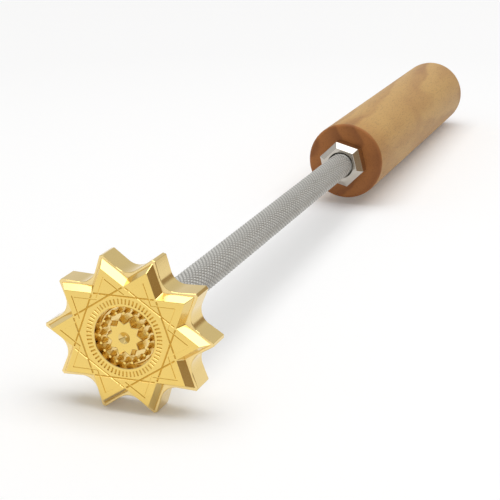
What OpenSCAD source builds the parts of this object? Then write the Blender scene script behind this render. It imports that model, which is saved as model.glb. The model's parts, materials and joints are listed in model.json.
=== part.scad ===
// Branding iron, lying on a table: a milled brass die on a knurled steel rod, held in a turned
// wooden handle by a threaded insert and a lock nut.
// Tool axis: z = 0 is the back of the die, +Z points out of the stamping face, and the rod and
// the handle run towards -Z. lay_down() turns the finished tool into the pose in which it rests.

/* [Die] */
// Width of the oval that the points of the die lie on
die_w = 52; // [46:0.5:70]
// Height of the oval that the points of the die lie on
die_h = 48; // [44:0.5:70]
// Thickness of the solid body behind the relief
die_base_t = 8.5; // [8.2:0.1:20]
// Height of the raised design above the body
relief_t = 3; // [1.5:0.1:3.2]
// Lean of the walls round the rays from upright, in degrees
edge_draft = 25; // [4:0.5:28]
// Lean of the walls in the die's centre from upright, in degrees
wall_draft = 8; // [4:0.5:12]
// Number of rays round the star
ray_count = 10; // [9:1:12]
// Rays that one edge line of the star passes over
ray_skip = 3; // [2:1:3]
// Width of the blunt end of each point of the body
tip_flat = 1; // [0.6:0.1:2]
// Radius that the end mill leaves between two points of the body
corner_r = 5; // [2:0.5:6]
// Set-back of the relief from the points of the body
tip_inset = 0.7; // [0.4:0.1:1.5]
// Width of the engraved lines at the face
groove_w = 0.5; // [0.3:0.05:0.8]
// Depth of the engraved lines
groove_depth = 0.35; // [0.3:0.05:0.6]
// Distance from a ray's edge to the middle of the engraved line beside it
echo_inset = 1.8; // [1:0.1:2.5]
// Depth of that line
echo_depth = 0.25; // [0.1:0.05:0.25]
// Brass left between the point of the tapped hole and the relief's floor
die_floor = 0.5; // [0.3:0.1:2]

/* [Die centre] */
// Diameter of the round pocket at the face
pocket_d = 18.6; // [18:0.1:20]
// Diameter of the small star over its tips, at the pocket floor
centre_star_d = 12.4; // [10.5:0.1:12.8]
// Diameter of the dimple in the small star
dimple_d = 3.6; // [2:0.1:4.5]
// Diameter of a bead at the pocket floor
bead_d = 1.6; // [1.4:0.1:2]
// Number of beads in the ring
bead_count = 20; // [10:1:21]
// Plain rim between the pocket and the reeded ring
pocket_rim = 0.8; // [0.5:0.1:1.2]
// Length of a reed, outwards from the rim
reed_len = 1.6; // [1:0.1:2]
// Number of cuts round the reeded ring
reed_count = 60; // [30:1:64]

/* [Rod] */
// Diameter over the knurling
rod_d = 10; // [9.5:0.1:12]
// Length from the back of the die to the thread run-out
rod_len = 214; // [120:1:300]
// Diameter of the screwed stub in the die
stub_d = 6; // [4:0.5:8]
// Chamfer on the rod's shoulder and on the screw ends
rod_chamfer = 0.6; // [0.2:0.1:0.7]
// Depth of the tapped hole past the end of the stub
drill_over = 0.5; // [0.2:0.1:1]
// Bare thread in front of the nut
bare_thread = 1.5; // [1:0.1:4]

/* [Thread at the handle] */
// Diameter over the crests
thread_d = 9.8; // [8:0.1:10]
// Radial clearance between a screw and its nut
thread_gap = 0.05; // [0.02:0.01:0.1]

/* [Lock nut] */
// Width across the flats
nut_flats = 17; // [15:0.5:19]
// Height
nut_h = 8; // [5:0.5:12]
// Angle of the nut about the rod, in degrees
nut_turn = -15; // [-30:1:30]
// Length of the corner chamfer, along the rod
nut_chamfer = 1.1; // [0.4:0.1:1.4]
// Radius that the corner chamfer takes off the flats at the end faces
nut_face_cut = 0.3; // [0.1:0.1:1]

/* [Handle] */
// Diameter
handle_d = 32; // [24:0.5:40]
// Length
handle_len = 173; // [90:1:220]
// Rounding of the front edge
front_round = 1.5; // [0.5:0.1:4]
// Rounding of the rear edge
rear_round = 5; // [1:0.1:8]

/* [Threaded insert] */
// Outside diameter
insert_d = 14; // [12.5:0.1:16]
// Length
insert_len = 25; // [15:0.5:40]
// Glue gap round the insert
glue_gap = 0.05; // [0.02:0.01:0.2]
// Length of thread that comes out behind the insert
thread_over = 3; // [1:0.5:5]
// Drilled room in the handle round and behind that thread
drill_room = 1; // [0.5:0.1:2]

/* [Hidden] */
$fn = 64;

brass = "goldenrod";
steel = "darkgray";
zinc = "silver";
beech = "burlywood";

// Sinks one solid into the next, so that they join
bite = 0.01;

// Small flat that a drill's chisel edge leaves at its point
chisel_r = 0.3;

// Tapped hole in the back of the die, ending in a drill point, and the stub that fills it
hole_r = stub_d / 2 + thread_gap;
drill_point = (hole_r - chisel_r) * tan(30);
hole_depth = die_base_t - die_floor - drill_point;
stub_len = hole_depth - drill_over;

// Places along the tool axis
head_t = die_base_t + relief_t;
nut_front_z = -rod_len - bare_thread;
handle_front_z = nut_front_z - nut_h;
handle_rear_z = handle_front_z - handle_len;
insert_rear_z = handle_front_z - insert_len;
thread_end_z = insert_rear_z - thread_over;

// Relief: its oval at the foot, how far its walls lean in, and its oval at the face
foot_w = die_w - 2 * tip_inset;
foot_h = die_h - 2 * tip_inset;
edge_lean = relief_t * tan(edge_draft);
wall_lean = relief_t * tan(wall_draft);
face_scale = inset_scale(foot_w, foot_h, edge_lean);
face_w = foot_w * face_scale;
face_h = foot_h * face_scale;

// Pose on the table: the lowest points of the die's back edge and the handle's rear edge touch it
handle_r = handle_d / 2;
die_drop = die_h / 2 * cos(180 / ray_count - blunt_angle());
rise = die_drop - handle_r + rear_round;
reach = -handle_rear_z - rear_round;
lie_tilt = acos(rear_round / norm([rise, reach])) - atan2(reach, rise);
face_drop = face_h / 2 * cos(180 / ray_count);
front_y = -head_t * cos(lie_tilt) - face_drop * sin(lie_tilt);
rear_y = (handle_r - rear_round) * sin(lie_tilt) + reach * cos(lie_tilt) + rear_round;

// A point of an oval, with its angle counted as on a circle
function oval(w, h, angle) = [w / 2 * cos(angle), h / 2 * sin(angle)];

// Half the angle that the blunt end of a point takes up
function blunt_angle() = tip_flat / 2 / ((die_w + die_h) / 4) * 180 / PI;

// Direction of tip i. The gap between the first tip and the last faces straight down.
function tip_turn(i) = -90 + (i + 0.5) * 360 / ray_count;

// Each edge of the star lies on a line from one tip to the tip ray_skip places on.
// Distance of those lines from the middle, and of the notches between the rays, as shares
function edge_share() = cos(180 * ray_skip / ray_count);
function notch_share() = edge_share() / cos(180 * (ray_skip - 1) / ray_count);

// Scale that moves every edge of a star inwards by a distance
function inset_scale(w, h, distance) = 1 - distance / (edge_share() * (w + h) / 4);

function tip(i, w, h) = oval(w, h, tip_turn(i));

// Notch between tip i and the next
function notch(i, w, h) = oval(w, h, tip_turn(i + 0.5)) * notch_share();

function star(w, h) = [for (i = [0 : ray_count - 1]) each [tip(i, w, h), notch(i, w, h)]];

// One side of a blunt point of the body: side is -1 or 1
function blunt_tip(i, side) = oval(die_w, die_h, tip_turn(i) + side * blunt_angle());

// Corner between two sides: unit vectors along them, half the angle between them, and how far from
// the corner a milled radius ends
function unit(v) = v / norm(v);
function half_angle(along_a, along_b) = acos(along_a * along_b) / 2;
function touch(along_a, along_b) = corner_r / tan(half_angle(along_a, along_b));

// Sides of the notch after ray i, seen from its corner
function side_before(i) = unit(blunt_tip(i, 1) - notch(i, die_w, die_h));
function side_after(i) = unit(blunt_tip(i + 1, -1) - notch(i, die_w, die_h));

// Outline of the die's body: blunt points, with an end mill's radius in each notch
module die_outline() {
    difference() {
        polygon([
            for (i = [0 : ray_count - 1])
                let (
                    corner = notch(i, die_w, die_h),
                    end = touch(side_before(i), side_after(i))
                )
                each [
                    blunt_tip(i, -1),
                    blunt_tip(i, 1),
                    corner + side_before(i) * end,
                    corner + side_after(i) * end,
                ]
        ]);
        for (i = [0 : ray_count - 1]) milled_corner(i);
    }
}

// The end mill in notch i. It bites a hair into both sides, so that it meets them cleanly.
module milled_corner(i) {
    half = half_angle(side_before(i), side_after(i));
    outward = unit(side_before(i) + side_after(i));
    translate(notch(i, die_w, die_h) + outward * (corner_r - bite) / sin(half)) circle(corner_r);
}

// Raised star with leaning walls, from the die's body to the face
module raised_star(w, h, lean) {
    translate([0, 0, die_base_t - bite])
        linear_extrude(relief_t + bite, scale = inset_scale(w, h, lean))
            polygon(star(w, h));
}

// V-shaped engraved line in the face
module groove(from, to) {
    span = to - from;
    translate([from[0], from[1], head_t])
        rotate([0, 0, atan2(span[1], span[0])])
            rotate([90, 0, 90])
                linear_extrude(norm(span))
                    polygon([[-groove_w, groove_depth], [groove_w, groove_depth], [0, -groove_depth]]);
}

// Lines that carry the edges of the rays on across the face, from just inside one notch to another
module edge_lines() {
    for (i = [0 : ray_count - 1]) {
        from = notch(i, face_w, face_h);
        to = notch(i + ray_skip - 1, face_w, face_h);
        inside = unit(to - from) * groove_w;
        groove(from + inside, to - inside);
    }
}

// Star at the face, inset from the edges of the rays
module inset_star(distance) {
    scale_in = inset_scale(face_w, face_h, distance);
    polygon(star(face_w * scale_in, face_h * scale_in));
}

// Line that follows the rays at a set distance from their edges
module echo_line() {
    translate([0, 0, head_t - echo_depth]) linear_extrude(2 * echo_depth) difference() {
        inset_star(echo_inset - groove_w / 2);
        inset_star(echo_inset + groove_w / 2);
    }
}

// Ring of short radial cuts round the pocket
module reeds() {
    inner = [pocket_d / 2 + pocket_rim, 0];
    for (i = [0 : reed_count - 1])
        rotate([0, 0, 360 * (i + 0.5) / reed_count])
            groove(inner, inner + [reed_len, 0]);
}

// Round pocket with a leaning wall, down to the die's body. The cutter is twice as tall as the relief.
module centre_pocket() {
    translate([0, 0, die_base_t])
        cylinder(2 * relief_t, d1 = pocket_d - 2 * wall_lean, d2 = pocket_d + 2 * wall_lean);
}

// Small star with a dimple, standing in the pocket
module centre_star() {
    dimple_r = dimple_d / 2;
    depth = dimple_r - chisel_r;
    difference() {
        raised_star(centre_star_d, centre_star_d, wall_lean);
        translate([0, 0, head_t - depth])
            cylinder(depth + bite, r1 = chisel_r, r2 = dimple_r + bite);
    }
}

// Ring of beads between the small star and the pocket's wall
module beads() {
    ring_r = (pocket_d - 2 * wall_lean + centre_star_d) / 4;
    for (i = [0 : bead_count - 1])
        rotate([0, 0, 360 * i / bead_count])
            translate([ring_r, 0, die_base_t - bite])
                cylinder(relief_t + bite, d1 = bead_d, d2 = bead_d - 2 * wall_lean);
}

// Tapped hole for the rod, with a drill point and a countersink
module stub_hole() {
    translate([0, 0, -bite]) cylinder(hole_depth + 2 * bite, r = hole_r);
    translate([0, 0, hole_depth]) cylinder(drill_point, r1 = hole_r, r2 = chisel_r);
    translate([0, 0, -bite]) cylinder(rod_chamfer, r1 = hole_r + rod_chamfer, r2 = hole_r);
}

module stamp_head() {
    color(brass) difference() {
        union() {
            difference() {
                union() {
                    linear_extrude(die_base_t) die_outline();
                    raised_star(foot_w, foot_h, edge_lean);
                }
                centre_pocket();
                edge_lines();
                echo_line();
                reeds();
            }
            centre_star();
            beads();
        }
        stub_hole();
    }
}

// Screwed stub, shouldered bar and screwed tail, turned from one bar
module rod() {
    rod_r = rod_d / 2;
    stub_r = stub_d / 2;
    tail_r = thread_d / 2;
    color(steel) rotate_extrude() polygon([
        [0, stub_len],
        [stub_r - rod_chamfer, stub_len],
        [stub_r, stub_len - rod_chamfer],
        [stub_r, 0],
        [rod_r - rod_chamfer, 0],
        [rod_r, -rod_chamfer],
        [rod_r, rod_chamfer - rod_len],
        [tail_r, -rod_len],
        [tail_r, thread_end_z + rod_chamfer],
        [tail_r - rod_chamfer, thread_end_z],
        [0, thread_end_z],
    ]);
}

// Bore of a nut or insert that runs on the rod's tail, countersunk at both ends
module threaded_bore(length) {
    bore_r = thread_d / 2 + thread_gap;
    translate([0, 0, -bite]) cylinder(length + 2 * bite, r = bore_r);
    translate([0, 0, -bite]) cylinder(rod_chamfer, r1 = bore_r + rod_chamfer, r2 = bore_r);
    translate([0, 0, length + bite - rod_chamfer])
        cylinder(rod_chamfer, r1 = bore_r, r2 = bore_r + rod_chamfer);
}

// Hexagon nut with its corners turned off on both faces
module lock_nut() {
    nut_corner_r = nut_flats / 2 / cos(30);
    face_r = nut_flats / 2 - nut_face_cut;
    color(zinc) translate([0, 0, handle_front_z]) difference() {
        intersection() {
            rotate([0, 0, nut_turn]) cylinder(nut_h, r = nut_corner_r, $fn = 6);
            rotate_extrude() polygon([
                [0, 0],
                [face_r, 0],
                [nut_corner_r + bite, nut_chamfer],
                [nut_corner_r + bite, nut_h - nut_chamfer],
                [face_r, nut_h],
                [0, nut_h],
            ]);
        }
        threaded_bore(nut_h);
    }
}

// Half section of the handle's outside, with a rounded edge at each end
module handle_section() {
    translate([0, handle_rear_z]) square([handle_r - rear_round, handle_len / 2]);
    translate([0, handle_rear_z + handle_len / 2]) square([handle_r - front_round, handle_len / 2]);
    translate([0, handle_rear_z + rear_round])
        square([handle_r, handle_len - rear_round - front_round]);
    translate([handle_r - rear_round, handle_rear_z + rear_round]) circle(rear_round);
    translate([handle_r - front_round, handle_front_z - front_round]) circle(front_round);
}

// Turned handle, drilled for the insert and for the end of the rod
module handle() {
    color(beech) difference() {
        rotate_extrude() handle_section();
        translate([0, 0, insert_rear_z]) cylinder(insert_len + bite, d = insert_d + 2 * glue_gap);
        translate([0, 0, thread_end_z - drill_room])
            cylinder(thread_over + drill_room + bite, d = thread_d + 2 * drill_room);
    }
}

// Headless insert glued into the handle, with the thread that the rod's tail screws into
module handle_insert() {
    color(zinc) translate([0, 0, insert_rear_z]) difference() {
        rotate_extrude() polygon([
            [0, 0],
            [insert_d / 2 - rod_chamfer, 0],
            [insert_d / 2, rod_chamfer],
            [insert_d / 2, insert_len],
            [0, insert_len],
        ]);
        threaded_bore(insert_len);
    }
}

// Lays the tool on the table: origin under the middle of its length, face towards -Y
module lay_down() {
    translate([0, -(front_y + rear_y) / 2, die_drop * cos(lie_tilt)])
        rotate([90 - lie_tilt, 0, 0])
            children();
}

lay_down() stamp_head();
lay_down() rod();
lay_down() lock_nut();
lay_down() handle();
lay_down() handle_insert();
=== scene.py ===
# %% [markdown]
# A small hand branding iron lies on a white table: a milled brass die, a knurled steel rod, a lock
# nut and a turned beech handle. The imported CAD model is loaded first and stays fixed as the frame.
# Every piece below is built in that frame, so nothing has to be fitted by eye afterwards.

# %% Load the frame
import json
import math

import bmesh
import bpy
from mathutils import Matrix, Vector

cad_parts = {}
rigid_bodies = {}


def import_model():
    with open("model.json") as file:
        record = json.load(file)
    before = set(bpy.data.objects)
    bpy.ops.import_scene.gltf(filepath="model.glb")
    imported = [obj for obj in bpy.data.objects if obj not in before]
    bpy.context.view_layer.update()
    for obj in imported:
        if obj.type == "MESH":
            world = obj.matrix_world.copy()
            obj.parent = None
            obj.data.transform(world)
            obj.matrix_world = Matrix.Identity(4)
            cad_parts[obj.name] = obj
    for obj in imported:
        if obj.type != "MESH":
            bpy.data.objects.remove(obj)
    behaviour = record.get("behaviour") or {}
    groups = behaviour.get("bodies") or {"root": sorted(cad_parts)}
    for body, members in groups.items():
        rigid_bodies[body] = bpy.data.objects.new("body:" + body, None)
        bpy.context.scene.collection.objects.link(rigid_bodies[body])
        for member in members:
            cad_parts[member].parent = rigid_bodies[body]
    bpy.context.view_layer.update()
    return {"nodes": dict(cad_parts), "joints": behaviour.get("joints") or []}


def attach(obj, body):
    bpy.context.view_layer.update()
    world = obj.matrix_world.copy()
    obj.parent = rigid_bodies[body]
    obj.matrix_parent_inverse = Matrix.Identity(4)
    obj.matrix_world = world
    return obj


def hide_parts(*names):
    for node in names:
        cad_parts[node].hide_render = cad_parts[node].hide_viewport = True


for leftover in list(bpy.data.objects):
    bpy.data.objects.remove(leftover)
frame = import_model()
nodes = frame["nodes"]
print("loaded", sorted(nodes))

# %% [markdown]
# The tool lies a little nose-up, so plain X, Y and Z are awkward for turned parts. A second set of
# axes runs along the tool: z points out of the stamping face, x to the right, y upwards, with the
# back of the die at z = 0. The nut turns about the tool's axis, so its joint gives the direction. A
# tilted empty as a parent could carry these axes too, but a matrix leaves every object at the
# origin, where the CAD nodes are. Lengths along the tool are in millimetres, as on a drawing.

# %% Axes along the tool
MM = 0.001
joint = frame["joints"][0]
out_of_face = Vector(joint["axis"]).normalized()
to_the_right = Vector((1, 0, 0))
upwards = out_of_face.cross(to_the_right)
on_axis = Vector(joint["pos_m"])


def rings_of(node):
    """How far along the axis and how far from it each vertex of a node lies, in mm."""
    found = []
    for vertex in nodes[node].data.vertices:
        arm = vertex.co - on_axis
        along = arm.dot(out_of_face)
        found.append((along / MM, (arm - along * out_of_face).length / MM))
    return found


on_axis += min(along for along, radius in rings_of("stamp_head")) * MM * out_of_face
tool_axes = Matrix((to_the_right, upwards, out_of_face)).transposed().to_4x4()
tool_axes.translation = on_axis
tool_to_row = tool_axes @ Matrix.Scale(MM, 4)
row_to_tool = tool_to_row.inverted()
print("the back of the die is at", [round(x, 4) for x in on_axis])

# %% [markdown]
# The CAD nodes are measured along and across those axes. The drawing's sizes could be typed in once
# more, but then the two copies could disagree, while measured sizes follow the solids. Vertices
# count as lying at one place when they are within a few hundredths of a millimetre of it.

# %% Sizes measured on the frame
SAME = 0.02


def ends_of(node):
    """Lowest and highest place of a node along the tool."""
    along = [ring[0] for ring in rings_of(node)]
    return min(along), max(along)


def radii_at(node, place):
    """Smallest and largest radius among the vertices at one place along the tool."""
    radii = [radius for along, radius in rings_of(node) if abs(along - place) < SAME]
    return min(radii), max(radii)


die_face = ends_of("stamp_head")[1]
thread_end, stub_end = ends_of("rod")
nut_rear, nut_front = ends_of("lock_nut")
handle_rear, handle_front = ends_of("handle")
insert_rear = ends_of("handle_insert")[0]
print(f"die face at {die_face:.2f}, rod from {thread_end:.2f} to {stub_end:.2f}")
print(f"nut from {nut_rear:.2f} to {nut_front:.2f}, handle from {handle_rear:.2f} to {handle_front:.2f}")

# %% [markdown]
# Every finish is a small net of shader nodes. It could be joined by hand in the Shader Editor, but a
# net written down is the same in every run. One function adds any node, sets its options and fills
# or links its inputs, so a finish reads as a list of nodes. Colours are written as the hex values
# that a picture shows and turned to the linear values that the renderer mixes.

# %% Colours and nodes
WHITE = (1, 1, 1, 1)
# A Mix node has sockets for numbers, vectors and colours. These are the places of the colour ones.
MIX_A, MIX_B, MIX_COLOUR = 6, 7, 2


def linear(hex_colour):
    """Turns an sRGB hex colour into linear red, green, blue and alpha, by the curve of that standard."""
    shares = [int(hex_colour[at:at + 2], 16) / 255 for at in (1, 3, 5)]
    return tuple(s / 12.92 if s <= 0.04045 else ((s + 0.055) / 1.055) ** 2.4 for s in shares) + (1.0,)


def add_node(tree, kind, inputs=None, **settings):
    """Adds one node, sets its options, and fills or links its inputs."""
    node = tree.nodes.new("ShaderNode" + kind)
    for name, value in settings.items():
        setattr(node, name, value)
    for socket, value in (inputs or {}).items():
        if isinstance(value, bpy.types.NodeSocket):
            tree.links.new(value, node.inputs[socket])
        else:
            node.inputs[socket].default_value = value
    return node


print("a mid grey is", round(linear("#808080")[0], 3), "in linear light")

# %% [markdown]
# A finish gets the place on the tool in millimetres, so that its patterns have real sizes. A Noise
# texture's scale is one over the size of its clouds, and a Wave texture repeats every tau / 20 at a
# scale of 1. Unwrapping every piece would place patterns too, but would stretch them at the ends.

# %% A new finish
WAVE_LENGTH = math.tau / 20


def new_finish(name):
    """A material with its node net, its shader, and the place on the tool in mm as a vector."""
    material = bpy.data.materials.new(name)
    material.use_nodes = True
    tree = material.node_tree
    row_place = add_node(tree, "TexCoord").outputs["Object"]
    place = add_node(tree, "Mapping", {"Vector": row_place, "Location": row_to_tool.translation,
                                       "Rotation": row_to_tool.to_euler(), "Scale": [1 / MM] * 3})
    return material, tree, tree.nodes["Principled BSDF"], place.outputs["Vector"]


def wear_finish(piece, material):
    """Gives a piece one finish in place of what it came with."""
    piece.data.materials.clear()
    piece.data.materials.append(material)
    print(piece.name, "wears", material.name)


# %% [markdown]
# The die is free-cutting brass, milled on a machining centre and then polished on the face. The
# polished face mirrors the table as an even gold. The sunk floors keep the cutter's finer satin, and
# their gold is paler too: a painted highlight for the lamp light that the rougher satin gathers. The
# walls mirror the room and each other, and their gold is paler and less saturated: a painted
# highlight that whitens the glints they mirror. Three materials on chosen faces could show this, but
# each new flat on an edge would have to be sorted. One finish sorts itself: it reads how deep a
# point lies below the face, in millimetres, and how squarely its surface looks forward.

# %% Golds of the brass
FACE_GOLD = "#F0CF76"
# The floor gold is paler than the face gold: a painted highlight for the light the satin gathers.
FLOOR_GOLD_PAINTED_PALE = "#F5DA98"
# The wall gold is paler and less saturated: a painted highlight that whitens the glints the walls mirror.
WALL_GOLD_PAINTED_PALE = "#E7CB84"
SUNK_FROM, SUNK_TO = 0.5, 1.5
LEVEL_FROM, LEVEL_TO = 0.8, 0.98

brass, tree, shader, place = new_finish("free_cutting_brass_milled_and_polished")
height = add_node(tree, "SeparateXYZ", {0: place}).outputs["Z"]
depth = add_node(tree, "Math", {0: die_face, 1: height}, operation="SUBTRACT").outputs[0]
sunk = add_node(tree, "MapRange", {"Value": depth, "From Min": SUNK_FROM, "From Max": SUNK_TO}).outputs[0]
normal = add_node(tree, "NewGeometry").outputs["Normal"]
facing = add_node(tree, "VectorMath", {0: normal, 1: out_of_face}, operation="DOT_PRODUCT").outputs["Value"]
level = add_node(tree, "MapRange", {"Value": facing, "From Min": LEVEL_FROM, "From Max": LEVEL_TO}).outputs[0]
floor_share = add_node(tree, "Math", {0: sunk, 1: level}, operation="MULTIPLY").outputs[0]
# Sunk level floors take the paler floor gold and other walls the paler wall gold, both painted highlights.
level_gold = add_node(tree, "Mix", {0: floor_share, MIX_A: linear(FACE_GOLD), MIX_B: linear(FLOOR_GOLD_PAINTED_PALE)},
                      data_type="RGBA").outputs[MIX_COLOUR]
gold = add_node(tree, "Mix", {0: level, MIX_A: linear(WALL_GOLD_PAINTED_PALE), MIX_B: level_gold},
                data_type="RGBA").outputs[MIX_COLOUR]
print("golds", FACE_GOLD, FLOOR_GOLD_PAINTED_PALE, WALL_GOLD_PAINTED_PALE)

# %% [markdown]
# Handling leaves faint clouds on polished brass, a few millimetres across, which are a little darker
# and less sharp. A picture of stains could be laid on, but noise goes round every edge without a
# seam. The milled floors are satin, so they get more roughness on top.

# %% Clouds on the brass
CLOUD_SIZE = 6.0
CLOUD_DARKEST, CLOUD_PALEST = 0.96, 1.03
POLISHED, HANDLED = 0.10, 0.20
SATIN = 0.12

cloud = add_node(tree, "TexNoise", {"Vector": place, "Scale": 1 / CLOUD_SIZE, "Detail": 4.0}).outputs["Fac"]
clouded = add_node(tree, "MapRange", {"Value": cloud, "To Min": CLOUD_DARKEST,
                                      "To Max": CLOUD_PALEST}).outputs[0]
tinted = add_node(tree, "Mix", {0: 1.0, MIX_A: gold, MIX_B: clouded}, data_type="RGBA", blend_type="MULTIPLY")
polish = add_node(tree, "MapRange", {"Value": cloud, "To Min": POLISHED, "To Max": HANDLED}).outputs[0]
sheen = add_node(tree, "Math", {0: floor_share, 1: SATIN, 2: polish}, operation="MULTIPLY_ADD").outputs[0]
tree.links.new(tinted.outputs[MIX_COLOUR], shader.inputs["Base Color"])
tree.links.new(sheen, shader.inputs["Roughness"])
shader.inputs["Metallic"].default_value = 1.0
print("clouds of", CLOUD_SIZE, "mm")

# %% [markdown]
# The cutter leaves fine parallel lines. A finishing cutter steps about 0.1 mm; the lines are drawn
# three times as coarse, because finer ones would vanish between the pixels. They are far too shallow
# to show in the outline, so a bump does what real grooves would.

# %% Cutter marks
CUTTER_STEP = 0.3
CUTTER_WANDER = 0.4
MARK_DEPTH, MARK_STRENGTH = 0.02, 0.03

lines = add_node(tree, "TexWave", {"Vector": place, "Scale": WAVE_LENGTH / CUTTER_STEP,
                                   "Distortion": CUTTER_WANDER}, bands_direction="X").outputs["Fac"]
marks = add_node(tree, "Bump", {"Height": lines, "Strength": MARK_STRENGTH, "Distance": MARK_DEPTH * MM})
tree.links.new(marks.outputs[0], shader.inputs["Normal"])
print("made", brass.name)

# %% [markdown]
# A machinist runs a deburring tool along sharp edges, which leaves a narrow flat that catches the
# light. A Bevel modifier on a whole piece would spoil the fine engraved lines, so only the larger
# edges get the flat. The walls of an engraved line lie wholly just under the face, which tells them
# apart.

# %% Broken edges
ENGRAVED_FROM, ENGRAVED_TO = 0.02, 0.6


def is_engraved(face):
    """True for the walls and floors of the fine lines in the die's face."""
    depth = die_face - min(corner.co.z for corner in face.verts)
    return ENGRAVED_FROM < depth < ENGRAVED_TO


def break_edges(mesh, width, sharp):
    """Puts a narrow flat on the edges that turn by more than a number of degrees."""
    mesh.normal_update()
    edges = [edge for edge in mesh.edges
             if edge.calc_face_angle(0) > math.radians(sharp) and not any(map(is_engraved, edge.link_faces))]
    bmesh.ops.bevel(mesh, geom=edges, offset=width, offset_type="OFFSET", segments=1, profile=0.5,
                    affect="EDGES", clamp_overlap=False, loop_slide=True)
    print(len(edges), "sharp edges broken")


# %% [markdown]
# Each piece is drawn in tool millimetres as a loose mesh and then turned into an object in the row's
# metres. Its edges stay sharp from a crease angle on and are shaded smooth below it. The piece rides
# on a body of the CAD model and stands for the plain solid, which stays for collisions only.

# %% Pieces in place of solids
def finish_piece(name, mesh, node, material, body, crease):
    """Turns a mesh in tool millimetres into a piece that stands for a CAD node."""
    data = bpy.data.meshes.new(name)
    bmesh.ops.recalc_face_normals(mesh, faces=mesh.faces)
    mesh.to_mesh(data)
    mesh.free()
    data.transform(tool_to_row)
    data.shade_smooth()
    data.set_sharp_from_angle(angle=math.radians(crease))
    piece = bpy.data.objects.new(name, data)
    bpy.context.scene.collection.objects.link(piece)
    wear_finish(piece, material)
    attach(piece, body)
    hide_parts(node)
    print("made", name, len(data.polygons), "faces")
    return piece


# %% [markdown]
# The die is what burns the mark: a block with a raised ten-ray star, engraved lines, a reeded ring
# and a beaded pocket. The solid has all of these forms, and drawing them a second time would only
# bring in errors. So its faces are copied into a new mesh, vertices that lie on each other are
# joined, and the larger edges are broken.

# %% The die
DIE_BREAK = 0.15
JOIN = 0.002

die_mesh = bmesh.new()
solid = nodes["stamp_head"].data
corners = [die_mesh.verts.new(row_to_tool @ vertex.co) for vertex in solid.vertices]
for face in solid.polygons:
    die_mesh.faces.new([corners[at] for at in face.vertices])
bmesh.ops.remove_doubles(die_mesh, verts=die_mesh.verts, dist=JOIN)
break_edges(die_mesh, DIE_BREAK, sharp=35)
die = finish_piece("milled_die", die_mesh, "stamp_head", brass, "iron", crease=20)

# %% [markdown]
# The rod is bright drawn steel, knurled and left bare. The knurl breaks the mirror of drawn steel
# into a silky grey. The grooves get a darker tone: painted shade for the shading that the shallow
# grooves lose, with oil and dust that make it stronger in some places than in others. Noise alone
# could darken the steel, but not where the grooves are. So each vertex of the rod carries how deep in
# a groove it lies, and that steers the painted shade and oil.

# %% Knurled steel
STEEL = "#CDCCC7"
# The darker groove steel is painted shade in the grooves, with oil and dust in it.
GROOVE_SHADE_AND_OIL_STEEL = "#7F7D78"
SMUDGE_SIZE = 9.0
# Even the cleanest grooves keep 0.6 of the painted shade; oil adds the rest.
CLEANEST, OILIEST = 0.6, 1.0
SILKIEST, DULLEST = 0.42, 0.58

knurled_steel, tree, shader, place = new_finish("bright_drawn_steel_diamond_knurled")
groove = add_node(tree, "Attribute", attribute_name="groove").outputs["Fac"]
smudge = add_node(tree, "TexNoise", {"Vector": place, "Scale": 1 / SMUDGE_SIZE, "Detail": 5.0}).outputs["Fac"]
shade_and_oil_strength = add_node(tree, "MapRange", {"Value": smudge, "To Min": CLEANEST, "To Max": OILIEST}).outputs[0]
groove_shade_and_oil = add_node(tree, "Math", {0: groove, 1: shade_and_oil_strength}, operation="MULTIPLY").outputs[0]
grey = add_node(tree, "Mix", {0: groove_shade_and_oil, MIX_A: linear(STEEL), MIX_B: linear(GROOVE_SHADE_AND_OIL_STEEL)}, data_type="RGBA")
dull = add_node(tree, "MapRange", {"Value": smudge, "To Min": SILKIEST, "To Max": DULLEST}).outputs[0]
tree.links.new(grey.outputs[MIX_COLOUR], shader.inputs["Base Color"])
tree.links.new(dull, shader.inputs["Roughness"])
shader.inputs["Metallic"].default_value = 1.0
print("made", knurled_steel.name)

# %% [markdown]
# Two knurling wheels press two families of crossing grooves into the rod and leave small four-sided
# studs with flat tops. A bump pattern would lose the saw-toothed outline, so each stud is real: one
# vertex where two grooves cross, and four round the flat top. Rows of crossings stand half a pitch
# apart, each turned by half a stud.

# %% Rows of the knurl
STUDS_ROUND = 22
GROOVE_ANGLE = math.radians(30)
GROOVE_DEPTH = 0.2
FLAT_SHARE = 0.3
# Shares of the painted groove shade and oil: none on the stud tops, all in the grooves, half on the screwed
# ends.
ON_TOP, IN_GROOVE, AT_ENDS = 0.0, 1.0, 0.5

rod_r = max(radius for along, radius in rings_of("rod"))
rod_body = [along for along, radius in rings_of("rod") if radius > rod_r - SAME]
knurl_front, knurl_rear = max(rod_body), min(rod_body)
stud_angle = math.tau / STUDS_ROUND
stud_pitch = rod_r * stud_angle / math.tan(GROOVE_ANGLE)
row_count = 2 * round((knurl_front - knurl_rear) / stud_pitch)
row_step = (knurl_front - knurl_rear) / row_count

rod_mesh = bmesh.new()
groove_layer = rod_mesh.verts.layers.float.new("groove")


def rod_vertex(radius, turn, along, in_groove):
    """One vertex of the rod: its radius, turn in studs, place along the tool and share of painted groove
    shade and oil.
    """
    angle = turn * stud_angle
    vertex = rod_mesh.verts.new((radius * math.cos(angle), radius * math.sin(angle), along))
    vertex[groove_layer] = in_groove
    return vertex


crossings = [[rod_vertex(rod_r - GROOVE_DEPTH, stud + row % 2 / 2, knurl_front - row * row_step, IN_GROOVE)
              for stud in range(STUDS_ROUND)] for row in range(row_count + 1)]
print(f"{row_count * STUDS_ROUND} studs, {row_step * 2:.2f} mm apart along the rod")

# %% [markdown]
# A stud lies between a crossing on its left, one on its right, one in the row before and one in the
# row behind. The first and last rows have half studs, and their straight sides make the two loops
# that the rod's ends are joined to.

# %% Studs of the knurl
flat_shift = (1 - FLAT_SHARE) / 2
flat_reach = row_step * FLAT_SHARE


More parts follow.
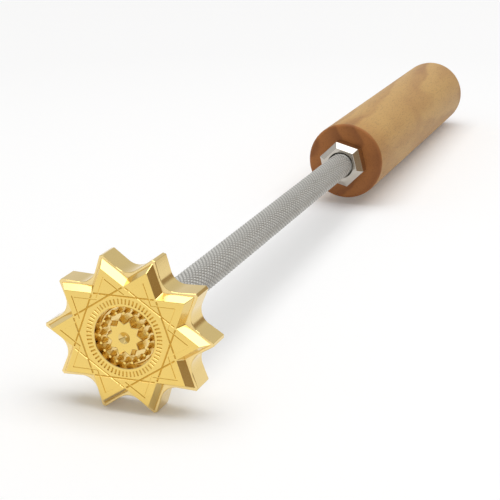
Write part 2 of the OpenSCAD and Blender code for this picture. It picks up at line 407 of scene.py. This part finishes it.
def add_stud(row, stud):
    """Draws one stud and returns its middle line, up to where the next stud's begins."""
    here = knurl_front - row * row_step
    turn = stud + row % 2 / 2
    beside = (stud + row % 2) % STUDS_ROUND
    left = crossings[row][stud]
    right = crossings[row][(stud + 1) % STUDS_ROUND]
    flat_left = rod_vertex(rod_r, turn + flat_shift, here, ON_TOP)
    flat_right = rod_vertex(rod_r, turn + 1 - flat_shift, here, ON_TOP)
    flat_top = [flat_left]
    if row < row_count:
        rear = crossings[row + 1][beside]
        flat_rear = rod_vertex(rod_r, turn + 0.5, here - flat_reach, ON_TOP)
        rod_mesh.faces.new((left, rear, flat_rear, flat_left))
        rod_mesh.faces.new((rear, right, flat_right, flat_rear))
        flat_top.append(flat_rear)
    flat_top.append(flat_right)
    if row > 0:
        front = crossings[row - 1][beside]
        flat_front = rod_vertex(rod_r, turn + 0.5, here + flat_reach, ON_TOP)
        rod_mesh.faces.new((left, flat_left, flat_front, front))
        rod_mesh.faces.new((front, flat_front, flat_right, right))
        flat_top.append(flat_front)
    rod_mesh.faces.new(flat_top)
    return [left, flat_left, flat_right]


stud_lines = [[add_stud(row, stud) for stud in range(STUDS_ROUND)] for row in range(row_count + 1)]
front_loop = sum(stud_lines[0], [])
rear_loop = sum(stud_lines[row_count], [])
print("knurl faces", len(rod_mesh.faces))

# %% [markdown]
# Both ends of the rod are screwed: a short stub into the die and a longer tail through the nut into
# the handle. A screw thread is one ridge wound round the rod, so the radius at a point follows from
# how far along the helix it lies. A metric thread is 0.61 of its pitch deep, with a flat of an eighth
# of the pitch on the crest and of a quarter in the root.

# %% Form of a thread
THREAD_SHARE = 0.61
CREST_FLAT = 1 / 8
ROOT_FLAT = 1 / 4


def thread_radius(crest, pitch, turn, along):
    """Radius of a V thread with a flat crest and root, at a turn in studs and a place."""
    part = (along / pitch - turn / STUDS_ROUND) % 1
    sunk_share = (1 - 2 * abs(part - 0.5) - CREST_FLAT) / (1 - CREST_FLAT - ROOT_FLAT)
    return crest - THREAD_SHARE * pitch * min(max(sunk_share, 0), 1)


print("a thread is", THREAD_SHARE, "of its pitch deep")

# %% [markdown]
# Blender's Screw modifier could wind a thread's section into a helix, but its ends would stay open.
# So rings close enough together to carry the ridge are joined into a skin, and the ridge fades over
# one turn at both ends, as the tool that cuts it runs out.

# %% Screwed ends
RINGS_PER_TURN = 6
LOOP_TURNS = [stud + shift for stud in range(STUDS_ROUND) for shift in (0, flat_shift, 1 - flat_shift)]


def join_loops(mesh, one, other):
    """Joins two loops of vertices with a band of faces; a loop may be a single point."""
    count = max(len(one), len(other))
    for at in range(count):
        after = (at + 1) % count
        near = [one[at % len(one)], one[after % len(one)]]
        far = [other[after % len(other)], other[at % len(other)]]
        mesh.faces.new(list(dict.fromkeys(near + far)))


def rod_loop(radius_of, along):
    """A loop of vertices round the rod, with a radius for each turn."""
    return [rod_vertex(radius_of(turn), turn, along, AT_ENDS) for turn in LOOP_TURNS]


def screwed_end(loop, start, end, crest, pitch, chamfer):
    """A shoulder from a loop down to the thread, the thread, and its chamfered end."""
    length = abs(end - start) - chamfer
    way = 1 if end > start else -1
    for step in range(round(length / pitch * RINGS_PER_TURN) + 1):
        gone = min(step * pitch / RINGS_PER_TURN, length)
        fade = min(gone / pitch, (length - gone) / pitch, 1)
        here = start + way * gone
        ring = rod_loop(lambda turn: crest + fade * (thread_radius(crest, pitch, turn, here) - crest), here)
        join_loops(rod_mesh, loop, ring)
        loop = ring
    tip = rod_loop(lambda turn: crest - chamfer, end)
    join_loops(rod_mesh, loop, tip)
    rod_mesh.faces.new(tip)
    print(f"thread of {2 * crest:.1f} mm, {length:.1f} mm long")


# %% [markdown]
# The rod is turned from one bar: the knurled length has a small chamfer at both ends, then come the
# shoulders and the threads. Three cylinders pushed into each other would look alike from outside,
# but one closed skin is what the real bar has, and it can be printed or cut.

# %% The rod
STUB_PITCH = 1.0
TAIL_PITCH = 1.5

rod_chamfer = -knurl_front
rod_rear = knurl_rear - rod_chamfer
stub_r = max(radius for along, radius in rings_of("rod") if along > 2 * rod_chamfer)
tail_r = max(radius for along, radius in rings_of("rod") if along < rod_rear - rod_chamfer)
front_shoulder = rod_loop(lambda turn: rod_r - rod_chamfer, 0.0)
rear_shoulder = rod_loop(lambda turn: rod_r - rod_chamfer, rod_rear)
join_loops(rod_mesh, front_loop, front_shoulder)
join_loops(rod_mesh, rear_loop, rear_shoulder)
screwed_end(front_shoulder, 0.0, stub_end, stub_r, STUB_PITCH, rod_chamfer)
screwed_end(rear_shoulder, rod_rear, thread_end, tail_r, TAIL_PITCH, rod_chamfer)
rod = finish_piece("knurled_rod", rod_mesh, "rod", knurled_steel, "iron", crease=15)

# %% [markdown]
# The lock nut is a hexagon nut, bright zinc plated. Plating is thin and even, so it keeps the sharp
# cut forms and gives a clear mirror, slightly warm from the passivation. One even grey would look
# like chrome; noise in the tint and in the roughness gives the faint cloudy patches of zinc.

# %% Zinc plated steel
ZINC = "#CAC4BB"
ZINC_CLOUD = "#B6B0A6"
PATCH_SIZE = 3.0
CLEAREST, CLOUDIEST = 0.07, 0.15

plated_steel, tree, shader, place = new_finish("steel_bright_zinc_plated")
patch = add_node(tree, "TexNoise", {"Vector": place, "Scale": 1 / PATCH_SIZE, "Detail": 4.0}).outputs["Fac"]
tint = add_node(tree, "Mix", {0: patch, MIX_A: linear(ZINC), MIX_B: linear(ZINC_CLOUD)}, data_type="RGBA")
polish = add_node(tree, "MapRange", {"Value": patch, "To Min": CLEAREST, "To Max": CLOUDIEST}).outputs[0]
tree.links.new(tint.outputs[MIX_COLOUR], shader.inputs["Base Color"])
tree.links.new(polish, shader.inputs["Roughness"])
shader.inputs["Metallic"].default_value = 1.0
print("made", plated_steel.name)

# %% [markdown]
# The nut is cut from hexagon bar. Its front is flat for three quarters of the way out, and then has
# a flat bevel along each of the six sides: the upper one mirrors the lamp, the lower ones the table
# and the right one the shelves, so each has a tone of its own. Behind it has a plain turned chamfer,
# and where that cone meets a flat side it leaves an arc. The size of the hexagon and its turn could
# be typed in, but the solid's outermost corner gives both.

# %% Sizes of the nut
NUT_SIDES = 6
FLAT_FACE_SHARE = 0.75
BEVEL_SLOPE = math.tan(math.radians(45))
REAR_SLOPE = math.tan(math.radians(30))

nut_corners = [row_to_tool @ vertex.co for vertex in nodes["lock_nut"].data.vertices]
outermost = max(nut_corners, key=lambda spot: spot.xy.length)
nut_turn = math.atan2(outermost.y, outermost.x)
half_flats = outermost.xy.length * math.cos(math.pi / NUT_SIDES)
bevel_front = nut_front - half_flats * (1 - FLAT_FACE_SHARE) * BEVEL_SLOPE
rear_face_r = radii_at("lock_nut", nut_rear)[1]
nut_bore_r = min(radius for along, radius in rings_of("lock_nut"))
mouth_r = radii_at("lock_nut", nut_front)[0]
mouth_depth = mouth_r - nut_bore_r
print(f"nut {2 * half_flats:.2f} mm across flats, bevels {nut_front - bevel_front:.2f} mm deep")

# %% [markdown]
# A six-sided cylinder with a Bevel modifier would give the flats, but not the arcs behind. So the
# skin is drawn as spokes of eight vertices, one per corner of the nut's section, and each spoke's
# rear corner lies where the cone does at its own distance from the axis.

# %% The nut
NUT_BREAK = 0.1
STEPS_PER_SIDE = 16

nut_mesh = bmesh.new()
side_angle = math.tau / NUT_SIDES
spokes = []
for step in range(NUT_SIDES * STEPS_PER_SIDE):
    off_middle = side_angle * (step % STEPS_PER_SIDE / STEPS_PER_SIDE - 0.5)
    angle = nut_turn + side_angle * step / STEPS_PER_SIDE
    side_r = half_flats / math.cos(off_middle)
    cone_rear = nut_rear + (side_r - rear_face_r) * REAR_SLOPE
    section = [(nut_bore_r, nut_front - mouth_depth), (mouth_r, nut_front),
               (side_r * FLAT_FACE_SHARE, nut_front), (side_r, bevel_front), (side_r, cone_rear),
               (rear_face_r, nut_rear), (mouth_r, nut_rear), (nut_bore_r, nut_rear + mouth_depth)]
    spokes.append([nut_mesh.verts.new((radius * math.cos(angle), radius * math.sin(angle), along))
                   for radius, along in section])
for one, other in zip(spokes, spokes[1:] + spokes[:1]):
    join_loops(nut_mesh, one, other)
break_edges(nut_mesh, NUT_BREAK, sharp=40)
nut = finish_piece("plated_nut", nut_mesh, "lock_nut", plated_steel, joint["child"], crease=20)

# %% [markdown]
# The handle is a beech dowel, turned, sanded and oiled. The surface of a dowel cuts the growth rings
# of the tree almost along their length, so they show as long flames, and the end faces show the
# rings as arcs. Stretched noise would give streaks, but no arcs. So the rings are drawn round a line
# far outside the dowel, the heart of the tree, and both looks come out of one pattern. Beech has
# rings of 2 to 4 mm; they are drawn wider, because they run together when seen from a step away.

# %% Growth rings
RING_WIDTH = 9.0
HEART = (9, -46, 0)
HEART_LEAN = math.radians(7)
DRIFT_ACROSS, DRIFT_ALONG = 28.0, 90.0
DRIFT_REACH = 22.0

beech, tree, shader, place = new_finish("beech_turned_and_oiled")
leaning = add_node(tree, "Mapping", {"Vector": place, "Location": HEART, "Rotation": (HEART_LEAN, 0, 0)})
stretch = add_node(tree, "Mapping", {"Vector": place,
                                     "Scale": (1 / DRIFT_ACROSS, 1 / DRIFT_ACROSS, 1 / DRIFT_ALONG)})
drift = add_node(tree, "TexNoise", {"Vector": stretch.outputs[0], "Scale": 1.0, "Detail": 3.0})
heart = add_node(tree, "VectorMath", {0: drift.outputs["Color"], 1: (DRIFT_REACH, DRIFT_REACH, 0),
                                      2: leaning.outputs[0]}, operation="MULTIPLY_ADD").outputs[0]
rings = add_node(tree, "TexWave", {"Vector": heart, "Scale": WAVE_LENGTH / RING_WIDTH},
                 wave_type="RINGS", rings_direction="Z", wave_profile="SAW").outputs["Fac"]
print("growth rings", RING_WIDTH, "mm wide")

# %% [markdown]
# Each ring starts pale in spring, darkens until autumn and ends quickly where the next one starts. A
# plain sine wave would darken and pale at the same pace, so two ramps of different length are
# multiplied. Some years leave a stronger ring than others, which the same drift decides.

# %% Early and late wood
SPRING, RING_TURN = 0.1, 0.8
WEAK_YEAR, STRONG_YEAR = 0.35, 0.65
WEAKEST_TONE = 0.25

darkening = add_node(tree, "MapRange", {"Value": rings, "From Min": SPRING, "From Max": RING_TURN},
                     interpolation_type="SMOOTHSTEP").outputs[0]
year_end = add_node(tree, "MapRange", {"Value": rings, "From Min": RING_TURN, "From Max": 1.0,
                                       "To Min": 1.0, "To Max": 0.0},
                    interpolation_type="SMOOTHSTEP").outputs[0]
ring_tone = add_node(tree, "Math", {0: darkening, 1: year_end}, operation="MULTIPLY").outputs[0]
years = add_node(tree, "MapRange", {"Value": drift.outputs["Fac"], "From Min": WEAK_YEAR,
                                    "From Max": STRONG_YEAR, "To Min": WEAKEST_TONE}).outputs[0]
late_wood = add_node(tree, "Math", {0: ring_tone, 1: years}, operation="MULTIPLY").outputs[0]
print("a ring is darkest at", RING_TURN, "of its width")

# %% [markdown]
# Oil sinks deeper into end grain, so the end faces are darker and redder than the side. A second
# material on the end faces would leave a hard line at the rounding. So each vertex of the handle
# carries how far it shows end grain, and the two tones fade into each other.

# %% Side grain and end grain
BEECH_PALE = "#C69D5D"
BEECH_DEEP = "#A67742"
BEECH_END = "#AB6C36"
BEECH_END_DEEP = "#935A2C"

side_grain = add_node(tree, "Mix", {0: late_wood, MIX_A: linear(BEECH_PALE), MIX_B: linear(BEECH_DEEP)},
                      data_type="RGBA").outputs[MIX_COLOUR]
end_grain = add_node(tree, "Mix", {0: ring_tone, MIX_A: linear(BEECH_END), MIX_B: linear(BEECH_END_DEEP)},
                     data_type="RGBA").outputs[MIX_COLOUR]
at_end = add_node(tree, "Attribute", attribute_name="end_grain").outputs["Fac"]
wood = add_node(tree, "Mix", {0: at_end, MIX_A: side_grain, MIX_B: end_grain},
                data_type="RGBA").outputs[MIX_COLOUR]
print("side grain", BEECH_PALE, "to", BEECH_DEEP, "and end grain", BEECH_END, "to", BEECH_END_DEEP)

# %% [markdown]
# Short dark flecks, the rays of the wood, cover a beech surface and lie a little deeper than the
# rest. They are noise stretched along the dowel; thousands of small marks in the mesh would cost
# much and show no more. An oiled surface is closer to satin than to varnish, so it gets a soft, weak
# gloss.

# %% Flecks and gloss of beech
FLECK_WIDTH, FLECK_LENGTH = 0.35, 3.0
FLECK_FROM, FLECK_TO = 0.52, 0.68
FLECK_TONE = 0.82
PORE_DEPTH, PORE_STRENGTH = 0.05, 0.3
OILED_ROUGHNESS = 0.55
WOOD_IOR = 1.5
WEAK_GLOSS = 0.35

fleck_place = add_node(tree, "Mapping", {"Vector": place,
                                         "Scale": (1 / FLECK_WIDTH, 1 / FLECK_WIDTH, 1 / FLECK_LENGTH)})
flecks = add_node(tree, "TexNoise", {"Vector": fleck_place.outputs[0], "Scale": 1.0, "Detail": 1.0})
fleck_tone = add_node(tree, "MapRange", {"Value": flecks.outputs["Fac"],
                                         "From Min": FLECK_FROM, "From Max": FLECK_TO,
                                         "To Min": 1.0, "To Max": FLECK_TONE}).outputs[0]
toned = add_node(tree, "Mix", {0: 1.0, MIX_A: wood, MIX_B: fleck_tone},
                 data_type="RGBA", blend_type="MULTIPLY")
pores = add_node(tree, "Bump", {"Height": fleck_tone, "Strength": PORE_STRENGTH,
                                "Distance": PORE_DEPTH * MM})
tree.links.new(toned.outputs[MIX_COLOUR], shader.inputs["Base Color"])
tree.links.new(pores.outputs[0], shader.inputs["Normal"])
shader.inputs["Roughness"].default_value = OILED_ROUGHNESS
shader.inputs["IOR"].default_value = WOOD_IOR
shader.inputs["Specular IOR Level"].default_value = WEAK_GLOSS
print("made", beech.name)

# %% [markdown]
# A turned handle is a profile spun round an axis. The profile starts at the floor of the drilled
# hole, runs out along the bore to the front face, round the front edge, down the side, and round
# the rear edge to the middle of the rear face. Each point of it also says how far it shows end
# grain, which fades out over the rounded edges. Oil soaks in from the drilled front end, so a little
# of that tone carries on along the side there.

# %% Profile of the handle
ARC_STEPS = 8
END_REACH = 1.8
SOAKED = 0.25
SOAK_LENGTH = 24.0

handle_r = max(radius for along, radius in rings_of("handle"))
bore_r, front_edge = radii_at("handle", handle_front)
rear_edge = radii_at("handle", handle_rear)[1]
drilled = [ring for ring in rings_of("handle") if ring[1] < bore_r - SAME]
drill_floor = min(along for along, radius in drilled)
drill_r = max(radius for along, radius in drilled)

profile = [(drill_floor, 0.0, 1.0), (drill_floor, drill_r, 1.0), (insert_rear, drill_r, 1.0),
           (insert_rear, bore_r, 1.0), (handle_front, bore_r, 1.0)]
for step in range(ARC_STEPS + 1):
    angle = math.pi / 2 * step / ARC_STEPS
    end_share = min(1.0, SOAKED + END_REACH * (1 - step / ARC_STEPS))
    profile.append((handle_front - (handle_r - front_edge) * (1 - math.cos(angle)),
                    front_edge + (handle_r - front_edge) * math.sin(angle), end_share))
profile.append((handle_front - SOAK_LENGTH, handle_r, 0.0))
for step in range(ARC_STEPS + 1):
    angle = math.pi / 2 * step / ARC_STEPS
    end_share = min(1.0, END_REACH * step / ARC_STEPS)
    profile.append((handle_rear + (handle_r - rear_edge) * (1 - math.sin(angle)),
                    rear_edge + (handle_r - rear_edge) * math.cos(angle), end_share))
profile.append((handle_rear, 0.0, 1.0))
print(f"bore {2 * bore_r:.2f} mm, drilled {2 * drill_r:.2f} mm to {handle_front - drill_floor:.1f} mm deep")

# %% [markdown]
# Blender's Screw modifier spins a profile too, but it would lose what each point says about end
# grain. So every point of the profile becomes a loop of vertices that carry its share, or a single
# vertex on the axis, and neighbouring loops are joined. 128 sides keep the outline round in a close
# view.

# %% The handle
SIDES = 128

handle_mesh = bmesh.new()
end_layer = handle_mesh.verts.layers.float.new("end_grain")
loops = []
for along, radius, end_share in profile:
    loop = []
    for side in range(SIDES if radius > 0 else 1):
        angle = math.tau * side / SIDES
        vertex = handle_mesh.verts.new((radius * math.cos(angle), radius * math.sin(angle), along))
        vertex[end_layer] = end_share
        loop.append(vertex)
    loops.append(loop)
for one, other in zip(loops, loops[1:]):
    join_loops(handle_mesh, one, other)
handle = finish_piece("turned_handle", handle_mesh, "handle", beech, "iron", crease=30)

# %% [markdown]
# The threaded insert is a die-cast zinc sleeve glued into the handle. The nut covers it, but it is
# seen when the tool is taken apart, so it gets the dull, slightly grainy skin of a casting. The
# solid has the right form, so the CAD node stays and only takes the finish.

# %% Die-cast zinc
CAST_ZINC = "#B4B3AE"
CAST_ZINC_DEEP = "#9A9994"
GRAIN_SIZE = 0.5
GRAIN_DEPTH, GRAIN_STRENGTH = 0.05, 0.2
CAST_ROUGHNESS = 0.55

dull_zinc, tree, shader, place = new_finish("zinc_die_cast_dull")
skin = add_node(tree, "TexNoise", {"Vector": place, "Scale": 1 / GRAIN_SIZE, "Detail": 4.0}).outputs["Fac"]
tint = add_node(tree, "Mix", {0: skin, MIX_A: linear(CAST_ZINC), MIX_B: linear(CAST_ZINC_DEEP)},
                data_type="RGBA")
grain = add_node(tree, "Bump", {"Height": skin, "Strength": GRAIN_STRENGTH, "Distance": GRAIN_DEPTH * MM})
tree.links.new(tint.outputs[MIX_COLOUR], shader.inputs["Base Color"])
tree.links.new(grain.outputs[0], shader.inputs["Normal"])
shader.inputs["Metallic"].default_value = 1.0
shader.inputs["Roughness"].default_value = CAST_ROUGHNESS
wear_finish(nodes["handle_insert"], dull_zinc)

# %% [markdown]
# The tool lies on a white table in a soft studio. The table takes light and shadow as matt white
# paint does. More lamps could make it whiter, but they would wash out the tool. So a share of plain
# white is added where the camera or a shiny surface looks at it. That share grows with the distance
# from the tool, because the lamp reaches the far table less and less. From here on, distances are
# in metres, as everything round the tool is.

# %% White paint
TABLE_WHITE = 0.88
TABLE_ROUGHNESS = 0.9
GLOW_NEAR, GLOW_FAR = 0.12, 0.56
NEAR, FAR = 0.4, 2.6


def looked_at(tree):
    """1 where the camera, a mirror or glass looks at a surface, and 0 where it only gives light."""
    path = add_node(tree, "LightPath").outputs
    mirrored = add_node(tree, "Math", {0: path["Is Glossy Ray"], 1: path["Is Transmission Ray"]},
                        operation="MAXIMUM").outputs[0]
    return add_node(tree, "Math", {0: path["Is Camera Ray"], 1: mirrored}, operation="MAXIMUM").outputs[0]


table_paint = bpy.data.materials.new("table_matt_white_paint")
table_paint.use_nodes = True
tree = table_paint.node_tree
shader = tree.nodes["Principled BSDF"]
distance = add_node(tree, "VectorMath", {0: add_node(tree, "TexCoord").outputs["Object"]},
                    operation="LENGTH").outputs["Value"]
white_share = add_node(tree, "MapRange", {"Value": distance, "From Min": NEAR, "From Max": FAR,
                                          "To Min": GLOW_NEAR, "To Max": GLOW_FAR}).outputs[0]
glow = add_node(tree, "Math", {0: looked_at(tree), 1: white_share}, operation="MULTIPLY").outputs[0]
tree.links.new(glow, shader.inputs["Emission Strength"])
shader.inputs["Emission Color"].default_value = WHITE
shader.inputs["Base Color"].default_value = (TABLE_WHITE, TABLE_WHITE, TABLE_WHITE, 1)
shader.inputs["Roughness"].default_value = TABLE_ROUGHNESS
shader.inputs["Specular IOR Level"].default_value = 0.0
print("made", table_paint.name)

# %% [markdown]
# The table is one flat face, large enough that its edge is lost in the pale surroundings. A curved
# backdrop would hide the edge as well, but it would show in views from the other side.

# %% White table
TABLE_HALF = 8.0

table_mesh = bmesh.new()
bmesh.ops.create_grid(table_mesh, x_segments=1, y_segments=1, size=TABLE_HALF)
table_data = bpy.data.meshes.new("table")
table_mesh.to_mesh(table_data)
table_mesh.free()
table = bpy.data.objects.new("table", table_data)
bpy.context.scene.collection.objects.link(table)
wear_finish(table, table_paint)

# %% [markdown]
# One large softbox hangs level over the tool, a little to its right, so the shadows are soft and
# fall close beside the tool. Several small lamps would cross their shadows and put hard sparks on
# the knurl. Facets that look up mirror the softbox as cream white, which is what makes milled brass
# look crisp.

# %% Soft light
LIGHT_PLACE = (0.28, -0.05, 1.6)
LIGHT_WIDTH, LIGHT_DEPTH = 2.2, 1.4
LIGHT_POWER = 21.5

lamp_data = bpy.data.lights.new("overhead_light", "AREA")
lamp_data.shape = "RECTANGLE"
lamp_data.size = LIGHT_WIDTH
lamp_data.size_y = LIGHT_DEPTH
lamp_data.energy = LIGHT_POWER
lamp = bpy.data.objects.new("overhead_light", lamp_data)
lamp.location = LIGHT_PLACE
bpy.context.scene.collection.objects.link(lamp)
print("softbox", LIGHT_WIDTH, "by", LIGHT_DEPTH, "m")

# %% [markdown]
# The rest of the studio is pale: brightest near the horizon and a little greyer overhead. Metal
# mirrors the studio in full, and as a lamp the studio gives only part of that, which leaves room for
# the shadows. Walls round the table would do the same, but would stand in the way of other views.

# %% Pale surroundings
HORIZON, CEILING = 0.95, 0.7
CEILING_RISE = 0.5
FILL_SHARE = 0.61

world = bpy.data.worlds.new("studio")
bpy.context.scene.world = world
world.use_nodes = True
tree = world.node_tree
background = tree.nodes["Background"]
way = add_node(tree, "SeparateXYZ", {0: add_node(tree, "TexCoord").outputs["Generated"]}).outputs
tone = add_node(tree, "MapRange", {"Value": way["Z"], "From Max": CEILING_RISE,
                                   "To Min": HORIZON, "To Max": CEILING}).outputs[0]
share = add_node(tree, "MapRange", {"Value": looked_at(tree), "To Min": FILL_SHARE}).outputs[0]
strength = add_node(tree, "Math", {0: share, 1: tone}, operation="MULTIPLY").outputs[0]
tree.links.new(strength, background.inputs["Strength"])
print("surroundings from", HORIZON, "to", CEILING)

# %% [markdown]
# On the right, between the table and eye level, stand shelves in a warm half shade. Sides of metal
# that mirror them turn darker than those that mirror the table or the ceiling, which brings out
# their form. Real shelves could be modelled, but only their blurred mirror image shows, so a soft
# band in the surroundings does. Rise is the height of a direction: 0 is level and 1 is straight up.

# %% Shelves on the right
SHELVES = "#A68E70"
SHELF_RISE = 0.17
SHELF_CORE, SHELF_EDGE = 0.08, 0.17
SHELF_LEFT, SHELF_RIGHT = 0.0, 0.5

off_level = add_node(tree, "Math", {0: way["Z"], 1: SHELF_RISE}, operation="SUBTRACT").outputs[0]
off_shelves = add_node(tree, "Math", {0: off_level}, operation="ABSOLUTE").outputs[0]
on_level = add_node(tree, "MapRange", {"Value": off_shelves, "From Min": SHELF_CORE, "From Max": SHELF_EDGE,
                                       "To Min": 1.0, "To Max": 0.0},
                    interpolation_type="SMOOTHSTEP").outputs[0]
on_the_right = add_node(tree, "MapRange", {"Value": way["X"], "From Min": SHELF_LEFT,
                                           "From Max": SHELF_RIGHT}).outputs[0]
shade = add_node(tree, "Math", {0: on_level, 1: on_the_right}, operation="MULTIPLY").outputs[0]
room = add_node(tree, "Mix", {0: shade, MIX_A: WHITE, MIX_B: linear(SHELVES)}, data_type="RGBA")
tree.links.new(room.outputs[MIX_COLOUR], background.inputs["Color"])
print("shelves of", SHELVES)

# %% [markdown]
# The camera stands in front of the die, to its right and a little above, with a long lens. It aims
# at a point under the rod, and its place follows from a distance and two angles. It could be dragged
# into place, but points of the tool that were matched with their places in the picture fix these
# numbers more closely than the eye does.

# %% Camera
AIM = Vector((0, -0.0937, 0.0166))
DISTANCE = 0.5297
AZIMUTH = math.radians(18.90)
ELEVATION = math.radians(17.44)
LENS = 108.8
SENSOR = 36

camera_data = bpy.data.cameras.new("camera")
camera_data.lens = LENS
camera_data.sensor_width = SENSOR
camera = bpy.data.objects.new("camera", camera_data)
level_reach = math.cos(ELEVATION)
back = Vector((math.sin(AZIMUTH) * level_reach, -math.cos(AZIMUTH) * level_reach, math.sin(ELEVATION)))
camera.location = AIM + DISTANCE * back
camera.rotation_euler = (-back).to_track_quat("-Z", "Y").to_euler()
bpy.context.scene.collection.objects.link(camera)
bpy.context.scene.camera = camera
bpy.context.scene.view_settings.view_transform = "Standard"
print("camera at", [round(x, 3) for x in camera.location])
